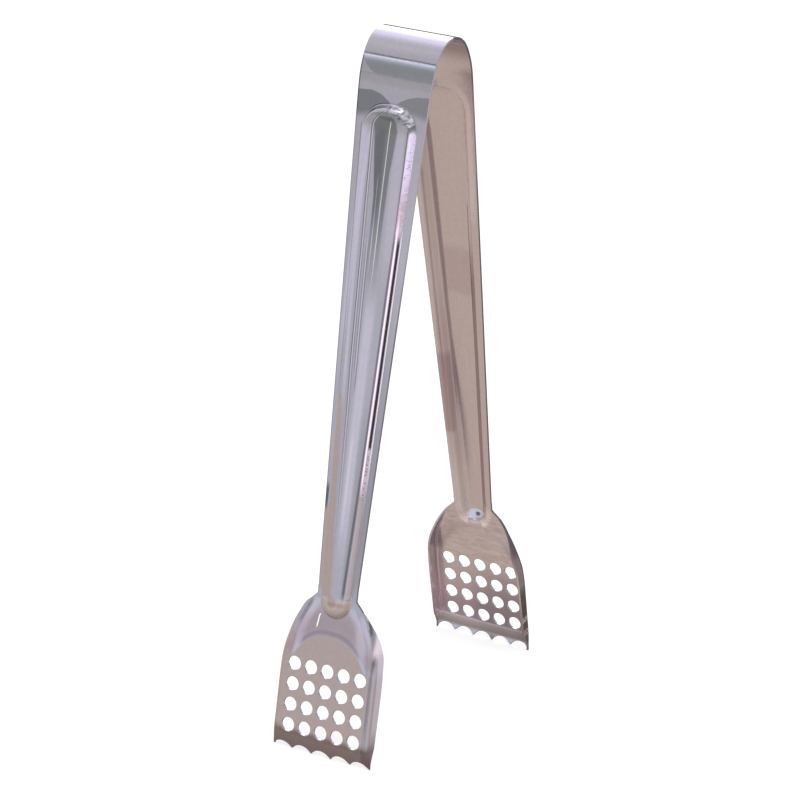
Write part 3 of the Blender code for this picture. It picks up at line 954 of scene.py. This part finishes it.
def paint_plate_slope(coat):
    """Painted reflections and shade on the slope from the neck to the plate, and on the near side
    wall.
    """
    across, along, inset = coat.place
    over = coat.past_border
    coat.tint((0.78, 0.70, 0.71), stripe(over, -0.95, half=0.65, soft=0.45),
              between(across, -8.5, 8.5, soft=1))
    coat.tint((1.08, 0.97, 0.99), between(over, -8.5, -1.6, soft=1.2, soft_stop=0.6),
              (along, 138.8, 140.5), (inset, 0.1, -0.3))
    # painted paler reflections run down both flanks, each with a painted dark border
    streaks = 0.6 + coat.broad * 0.8
    flank = curve(along, [(140, 5.2), (142, 5.8), (146, 7.6), (150, 9), (156.5, 9.7)])
    reach = mask(*coat.run(139.8, 141, 155.5, 157.5), (over, 0.6, -0.4), streaks)
    coat.tint((1.24, 1.26, 1.30), stripe(across, flank, half=1.1, soft=0.7), reach)
    coat.tint((0.86, 0.88, 0.90), stripe(across, flank + 1.15, half=0.45, soft=0.35), reach)
    flank = curve(along, [(140, -4.6), (142, -5.2), (146, -7.3), (150, -9), (157.5, -10.3)])
    reach = mask(*coat.run(140.5, 142, 156.5, 158.5), (over, 0.6, -0.4), streaks)
    coat.tint((1.16, 1.22, 1.30), stripe(across, flank, half=1.2, soft=0.8), reach)
    coat.tint((0.84, 0.86, 0.90), stripe(across, flank - 1.1, half=0.35, soft=0.3), reach)
    # near side wall of the jaw
    coat.tint((0.90, 0.85, 0.80), (across, -11.7, -12.2), (along, 155, 158))
    coat.tint((0.74, 0.72, 0.72), stripe(across, -12.5, half=0.3, soft=0.2),
              *coat.run(149, 152, 168, 174))
    coat.tint((0.86, 0.76, 0.70), (across, -11.4, -12.4), (along, 175, 177))


def paint_neck(coat):
    """Small painted highlights and shade, mostly round the neck and on the near wall's shoulder."""
    across, along, inset = coat.place
    line = curve(along, [(143.8, 3.7), (144.8, 4.15), (148.3, 4.45)])
    coat.paint_matte_light((1, 1, 1), stripe(across, line, half=0.15), *coat.run(144, 144.6, 147.2, 148.2))
    line = curve(along, [(140, 6.4), (142, 7.2), (147.5, 9.7)])
    coat.tint((0.68, 0.69, 0.68), stripe(across, line, half=0.55, soft=0.4),
              *coat.run(140.5, 142, 146.5, 148.5))
    line = curve(along, [(140, -6.9), (143, -9.5), (147.5, -11)])
    coat.tint((0.42, 0.42, 0.44), stripe(across, line, half=0.3, soft=0.2),
              *coat.run(141.5, 142.8, 145.8, 147.5))
    coat.tint((1.22, 1.20, 1.27), between(across, -12, -7, soft=0.6, soft_stop=1.2),
              *coat.run(141.5, 144, 150, 154))
    coat.tint((0.30, 0.32, 0.36), (across, 5.45, 5.8), between(along, 111.5, 117.5, soft=1.6))
    coat.tint((0.86, 0.78, 0.75), stripe(along, 140.6, half=0.45, soft=0.35),
              between(across, -3.2, 1.2, soft=0.8))
    coat.tint((0.80, 0.74, 0.70), stripe(inset, 0.35, half=0.35, soft=0.25),
              (along, 140.5, 142.5))
    coat.paint_matte_light((0.60, 0.51, 0.58), stripe(along, 149, half=2.8, soft=1.6),
              (across, -11.4, -12.6), coat.left_only)


def paint_rim_and_lip(coat):
    across, along, _ = coat.place
    # a thin dark rim at the far edge
    edge = curve(along, [(v, float(strip_half(v))) for v in (0, 20, 60, 100, 136)])
    rim = mask((edge - across, 0.42, 0.22), coat.left_only)
    coat.tint((0.40, 0.38, 0.40), rim, *coat.run(4, 6, 20, 26))
    coat.tint((0.72, 0.69, 0.73), rim, *coat.run(20, 26, 132, 136))
    # painted reflection tones on the lip under the last holes
    coat.tint((0.86, 0.83, 0.85), (along, 174.2, 176.6))
    coat.tint((0.84, 0.88, 0.97), stripe(along, 175.6, half=1, soft=0.7))
    coat.tint((1.16, 1.32, 1.42), (along, 176, 177.2))
    coat.tint((0.88, 0.86, 0.87), (along, 177.6, 181))


def outer_paint(coat):
    for part in (paint_above_arch, paint_rib_crown, paint_near_wall, paint_arch,
                 paint_warm_light, paint_plate_slope, paint_neck, paint_rim_and_lip):
        part(coat)


def right_paint(coat):
    """The right side, without the left side's painted marks, with painted shade on the near fold at
    the jaw and small painted glints in it.
    """
    coat.left_only = 0.0
    outer_paint(coat)
    across, along = coat.across, coat.along
    fold = mask((across, -8, -10), (along, 139, 141))
    coat.tint((0.38, 0.31, 0.28), fold, (along, 164, 158))
    coat.tint((0.62, 0.54, 0.50), fold, (along, 158, 164))
    glint_flecks = stripe(along, 171, half=0.8, soft=0.3).max(stripe(along, 175.2, half=1, soft=0.3))
    coat.paint_matte_light((0.48, 0.37, 0.35), fold, glint_flecks, (across, -11.9, -12.5),
              (coat.pits, 0.42, 0.5), 0.5)


def paint_hollow(coat):
    """Inner face of the arm, the rib seen as a hollow: painted reflections and shade."""
    across, along, inset = coat.place
    shade = curve(along, [(47, -4.55), (60, -4.1), (70, -3.85), (90, -3.25), (105, -2.75),
                          (120, -2.3), (135, -1.95), (144, -1.75)])
    coat.tint((0.56, 0.49, 0.51), (shade - across, -0.08, 0.12), (inset, 0, 0.3),
              *coat.run(55, 74, 141.6, 143))
    # matte walls, painted tan in place of their reflections
    wall = mask((inset, -1.7, -0.3), (inset, 2.6, 1.5))
    quiet = mask((across, 0.5, 1.5), (along, 140.5, 138.5)).max(fade(along, 56, 44))
    quiet = quiet.max(mask((along, 138.5, 140.5), (abs(across), 1.9, 2.4)))
    coat.paint_matte_light(mix(coat.near, (0.435, 0.34, 0.305), (0.525, 0.405, 0.355)), wall, quiet, 0.92)
    # painted reflection lines and bands
    line = curve(along, [(38, 7), (45, 6.85), (70, 6.2), (85, 5.8), (100, 5.35), (117, 4.9)])
    coat.tint((0.68, 0.62, 0.64), stripe(across, line, half=0.2, soft=0.15),
              *coat.run(38, 42, 85, 117))
    coat.tint((0.88, 0.85, 0.86), wall, (across, 0.5, 1.5), *coat.run(70, 90, 118, 134))
    coat.tint((0.55, 0.48, 0.50), stripe(across, shade - 0.1, half=0.13),
              *coat.run(48.5, 50.5, 70, 96))
    far = curve(along, [(24, 6.2), (30, 5.7), (45, 5.3), (60, 4.9), (80, 4.35), (90, 4),
                        (100, 3.9), (120, 3.6)])
    near = curve(along, [(24, 5.2), (30, 4.4), (45, 4), (60, 3.8), (80, 3.5), (90, 3.2),
                         (100, 2.6), (110, 2.1), (120, 2)])
    coat.tint((0.57, 0.51, 0.53), between(across, near, far, soft=0.3, soft_stop=0.2),
              *coat.run(24, 28, 100, 117.5))
    coat.tint((0.78, 0.72, 0.74), (across, 3.9, 4.4),
              between(along, 94, 117.5, soft=1.6, soft_stop=0.8))
    coat.tint((0.90, 0.87, 0.90), between(across, -4, 4, soft=0.6),
              between(along, 63, 76, soft=1.6, soft_stop=1.2))


def paint_scoop(coat):
    """Inner face of the jaw: painted reflections, highlights and shade."""
    across, along, inset = coat.place
    # wavy reflections above the holes
    wave = coat.grain(0.16, 0.62, 41, rough=0.55, distort=1.6)
    waves = mask(wave - 0.5, between(along, 141, 158, soft=2, soft_stop=3),
                 between(across, -10, 10, soft=2))
    coat.colour = times(coat.colour, grey(1 + waves * 0.75))
    coat.tint((1.34, 1.34, 1.34), between(coat.past_border, -6, -1.2, soft=1.6),
              between(across, -10.5, 10.5, soft=1))
    # painted deeper reflection on the near side of the scoop, lighter on the far
    coat.tint((0.86, 0.84, 0.88), (along, 156, 162), (across, 4, -6), (along, 172, 168))
    coat.tint((1.35, 1.28, 1.30), (along, 160, 172), (across, -2, 6), (along, 178.5, 176.5))
    coat.tint((0.97, 0.95, 0.97), (across, 9.5, 12.6), *coat.run(146, 152, 176, 178.5))
    # the lip, painted dark with the shade it reflects, and painted light on the teeth
    on_lip = coat.run(176.2, 177.2, 178.8, 179.6)
    coat.paint_matte_light(mix(fade(across, -6, 6), (0.20, 0.157, 0.143), (0.275, 0.22, 0.205)), *on_lip, 0.9)
    tone = fade(along, 176.6, 179, low=1.16, high=0.84) + (coat.cross - 0.5) * 0.25
    coat.tint(grey(tone), *on_lip)
    coat.paint_matte_light((0.50, 0.48, 0.66), (along, 179, 179.8), 0.6)
    coat.tint((0.45, 0.48, 0.48), stripe(across, -2.6, half=1.3, soft=0.7), (along, 179, 180))
    # painted highlight spot with a painted dark centre where the rib's hollow runs out
    spot = coat.ellipse(across=0.3, along=142.7, half_across=2.3, half_along=1.15)
    coat.paint_matte_light((0.60, 0.62, 0.72), (spot, 1.15, 0.85), (inset, -0.1, 0.2), 0.85)
    spot = coat.ellipse(across=-0.1, along=142.95, half_across=0.75, half_along=0.6)
    coat.tint((0.22, 0.22, 0.24), (spot, 1.3, 0.7))


def inner_paint(coat):
    paint_hollow(coat)
    paint_scoop(coat)


def edge_paint(coat):
    """The near sheared edge is dark along the arms."""
    coat.tint((0.42, 0.40, 0.42), (coat.across, -3, -5), *coat.run(40, 75, 148, 158))


def edge_right_paint(coat):
    """The right side's near edge is dark round the bow as well."""
    near = fade(coat.across, -3, -5)
    coat.tint((0.34, 0.30, 0.30), near, *coat.run(-7, -4, 12, 22))
    coat.tint((0.62, 0.52, 0.48), near, *coat.run(10, 22, 30, 45))
    coat.tint((0.38, 0.35, 0.36), near, *coat.run(30, 45, 148, 158))


OUTER = dict(base=(0.70, 0.70, 0.70), rough=0.075, bump_strength=0.25)
INNER = dict(base=(0.731, 0.69, 0.72), rough=0.19, bump_strength=0.3)
EDGE = dict(base=(0.70, 0.69, 0.70), rough=0.16, bump_strength=0.3)
outer = steel("steel_outer", paint=outer_paint, **OUTER)
inner = steel("steel_inner", paint=inner_paint, **INNER)
edge = steel("steel_edge", paint=edge_paint, **EDGE)
right_outer = steel("steel_outer_right", paint=right_paint, **OUTER)
right_edge = steel("steel_edge_right", paint=edge_right_paint, **EDGE)

# ---------------------------------------------------------------------------
# The tongs
# ---------------------------------------------------------------------------
# Where the bow's movement would blend from the crown into the arm: x, and depth below LEVEL; the
# points are computed below but not used
BLEND_START, BLEND_END = (1.5, 0.6), (9.6, 11.6)

for side, tag, mats in ((-1, "left", [outer, inner, edge]),
                        (1, "right", [right_outer, inner, right_edge])):
    body = tag + "_side"
    start, end = ((side * x * MM, 0.0, (LEVEL - depth) * MM)
                  for x, depth in (BLEND_START, BLEND_END))
    bow = make_bow(side, "spring_bow_" + tag, mats)
    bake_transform(bow)
    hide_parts("spring_bow")
    for part, make in (("_arm", make_arm), ("_jaw", make_jaw)):
        piece = make(side, tag + part + "_sheet", mats)
        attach(piece, body)
        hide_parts(tag + part)

# ---------------------------------------------------------------------------
# Studio (in metres)
# ---------------------------------------------------------------------------
scene = bpy.context.scene
scene.view_settings.view_transform = "Standard"
scene.view_settings.look = "None"
scene.view_settings.exposure = 0.0


def shader(tree, kind, colour=None):
    node = add_node(tree, kind)
    if colour:
        node.inputs["Color"].default_value = (*colour, 1.0)
    return Signal(node.outputs[0])


def join_shaders(tree, kind, *inputs):
    node = add_node(tree, kind)
    for socket, value in zip(node.inputs, inputs):
        feed(socket, value)
    return Signal(node.outputs[0])


def floor_material():
    """Pale floor; in the steel's reflections only its contact shade by the jaws shows."""
    jaw_x, jaw_half_y = 0.0405, 0.0135
    mat = bpy.data.materials.new("floor_pale")
    mat.use_nodes = True
    tree = mat.node_tree
    tree.nodes.clear()
    out = add_node(tree, "ShaderNodeOutputMaterial")
    path = add_node(tree, "ShaderNodeLightPath")
    x, y, _ = split_xyz(add_node(tree, "ShaderNodeNewGeometry").outputs["Position"])
    gap_x = abs(abs(x) - jaw_x)
    gap_y = (abs(y) - jaw_half_y).max(0)
    distance = calc("SQRT", gap_x * gap_x + gap_y * gap_y)
    contact = join_shaders(tree, "ShaderNodeMixShader", fade(distance, 0.004, 0.026),
                           shader(tree, "ShaderNodeEmission", (0.26, 0.21, 0.215)),
                           shader(tree, "ShaderNodeBsdfTransparent"))
    pale = join_shaders(tree, "ShaderNodeAddShader",
                        shader(tree, "ShaderNodeBsdfDiffuse", (0.55, 0.55, 0.55)),
                        shader(tree, "ShaderNodeEmission", (0.52, 0.52, 0.52)))
    surface = join_shaders(tree, "ShaderNodeMixShader", Signal(path.outputs["Is Glossy Ray"]),
                           pale, contact)
    feed(out.inputs["Surface"], surface)
    return mat


bpy.ops.mesh.primitive_circle_add(vertices=96, radius=4.0, fill_type="NGON", location=(0, 0, 0))
floor = bpy.context.active_object
floor.name = "studio_floor"
floor.data.materials.append(floor_material())

# Room as reflected in the steel. Stops are (fraction of the range, colour).
# Elevation -60 to 5 degrees: warm table below, cool walls above
LOW_ROOM = [
    (0.00, (0.30, 0.235, 0.205)), (0.12, (0.50, 0.40, 0.345)), (0.22, (0.60, 0.49, 0.425)),
    (0.45, (0.60, 0.49, 0.425)), (0.655, (0.57, 0.475, 0.42)), (0.72, (0.545, 0.515, 0.565)),
    (0.77, (0.555, 0.54, 0.63)), (0.90, (0.565, 0.55, 0.64)), (1.0, (0.475, 0.45, 0.495))]
# Elevation 5 to 65 degrees: walls, a bright band over a dark shelf line, ceiling
HIGH_ROOM = [
    (0.00, (0.475, 0.45, 0.495)), (0.125, (0.455, 0.435, 0.475)), (0.150, (0.335, 0.345, 0.375)),
    (0.30, (0.32, 0.325, 0.355)), (0.375, (0.34, 0.355, 0.395)), (0.415, (0.47, 0.51, 0.61)),
    (0.445, (0.66, 0.70, 0.86)), (0.462, (0.98, 0.98, 1.18)), (0.478, (1.10, 1.08, 1.28)),
    (0.488, (0.12, 0.11, 0.13)), (0.503, (0.12, 0.11, 0.13)), (0.515, (0.53, 0.50, 0.56)),
    (0.72, (0.60, 0.565, 0.645)), (1.0, (0.68, 0.64, 0.74))]
# Azimuth 0 to 360 degrees from +x: the ceiling window
WINDOW = [
    (0.0, (2.3, 2.3, 2.35)), (0.088, (2.3, 2.3, 2.35)), (0.112, (1.38, 1.32, 1.55)),
    (0.133, (1.10, 1.02, 1.32)), (0.165, (0.98, 0.91, 1.18)), (0.205, (0.78, 0.735, 0.92)),
    (0.26, (0.64, 0.60, 0.69)), (0.33, (0.575, 0.545, 0.61))]
# Azimuth 0 to 360 degrees: slow changes round the walls
ROUND_ROOM = [
    (0.0, (0.25, 0.23, 0.23)), (0.10, (0.30, 0.28, 0.28)), (0.16, (0.95, 0.93, 0.93)),
    (0.30, (1.0, 1.0, 1.0)), (0.36, (0.96, 0.95, 0.96)), (0.44, (1.02, 1.02, 1.02)),
    (0.485, (1.03, 1.03, 1.04)), (0.52, (0.80, 0.80, 0.81)), (0.56, (1.25, 1.22, 1.27)),
    (0.66, (1.15, 1.12, 1.16)), (0.76, (1.0, 1.0, 1.0)), (0.86, (0.85, 0.84, 0.85)),
    (0.95, (0.6, 0.58, 0.58)), (1.0, (0.25, 0.23, 0.23))]


def build_world():
    world = bpy.data.worlds.new("studio")
    scene.world = world
    world.use_nodes = True
    tree = world.node_tree
    tree.nodes.clear()
    out = add_node(tree, "ShaderNodeOutputWorld")
    x, y, z = split_xyz(add_node(tree, "ShaderNodeTexCoord").outputs["Generated"])
    elevation = calc("ARCSINE", z) * (180.0 / math.pi)
    azimuth = calc("ARCTAN2", y, x) * (180.0 / math.pi)
    azimuth = calc("MODULO", azimuth + 360, 360)
    low = ramp(fade(elevation, -60, 5, smooth=False), LOW_ROOM)
    high = ramp(fade(elevation, 5, 65, smooth=False), HIGH_ROOM)
    room = mix(fade(elevation, 4, 6), low, high)
    window = ramp(azimuth / 360, WINDOW)
    room = mix((1 - fade(azimuth, 95, 125)) * fade(elevation, 5, 7.5), room, window)
    walls = ramp(azimuth / 360, ROUND_ROOM)
    on_walls = fade(elevation, -24, -10) * (1 - fade(elevation, 8, 14))
    room = mix(on_walls, room, times(room, walls))
    # bright and dark halves of the view in front of the near edges
    in_front = ((fade(azimuth, 300, 312) * (1 - fade(azimuth, 346, 356)))
                * (fade(elevation, -40, -31) * (1 - fade(elevation, -14, -6))))
    halves = mix(fade(azimuth, 330.2, 330.9), (0.74, 0.70, 0.82), (0.17, 0.145, 0.15))
    room = mix(in_front, room, halves)
    # everything but reflections sees a plain backdrop
    path = add_node(tree, "ShaderNodeLightPath")
    plain = add_node(tree, "ShaderNodeRGB")
    plain.outputs[0].default_value = (0.74, 0.74, 0.755, 1.0)
    back = add_node(tree, "ShaderNodeBackground")
    feed(back.inputs["Color"],
         mix(Signal(path.outputs["Is Glossy Ray"]), Signal(plain.outputs[0]), room))
    back.inputs["Strength"].default_value = 1.0
    world.cycles.sampling_method = "NONE"
    feed(out.inputs["Surface"], Signal(back.outputs[0]))


build_world()

# Disk lights aimed at AIM and unseen in reflections: name, place, diameter, power
AIM = Vector((0, 0, 0.06))
SOFTBOXES = [("key_overhead", (-0.5, -0.3, 1.3), 1.2, 9.0),
             ("fill_front", (-1.1, -1.2, 0.7), 1.0, 5.0),
             ("fill_side", (1.0, -0.5, 0.9), 1.0, 3.0)]
for name, at, size, power in SOFTBOXES:
    data = bpy.data.lights.new(name, "AREA")
    data.shape = "DISK"
    data.size = size
    data.energy = power
    data.color = (1, 1, 1)
    lamp = bpy.data.objects.new(name, data)
    lamp.location = at
    lamp.rotation_mode = "QUATERNION"
    lamp.rotation_quaternion = (AIM - Vector(at)).to_track_quat("-Z", "Y")
    lamp.visible_glossy = False
    scene.collection.objects.link(lamp)

# Camera: low three-quarter view from -x and -y through a long lens
AZIMUTH, ELEVATION, ROLL = (math.radians(v) for v in (30.463, 21.757, 0.977))
TARGET = (0.0, 2.95316, -96.220281)     # mm, z from LEVEL
DISTANCE = 893.067225                   # mm
back = np.array([-math.cos(AZIMUTH) * math.cos(ELEVATION),
                 -math.sin(AZIMUTH) * math.cos(ELEVATION), math.sin(ELEVATION)])
level_right = unit(np.cross(-back, [0, 0, 1.0]))
level_up = np.cross(level_right, -back)
right = math.cos(ROLL) * level_right + math.sin(ROLL) * level_up
up = -math.sin(ROLL) * level_right + math.cos(ROLL) * level_up
eye = np.array(TARGET) + back * DISTANCE + np.array([0, 0, LEVEL])
cam_data = bpy.data.cameras.new("camera")
cam_data.sensor_width = 36.0
cam_data.lens = 160.02585
cam_data.clip_start, cam_data.clip_end = 0.05, 50.0
cam = bpy.data.objects.new("camera", cam_data)
pose = Matrix.Identity(4)
for i in range(3):
    pose[i][0], pose[i][1], pose[i][2], pose[i][3] = right[i], up[i], back[i], eye[i] * MM
cam.matrix_world = pose
scene.collection.objects.link(cam)
scene.camera = cam
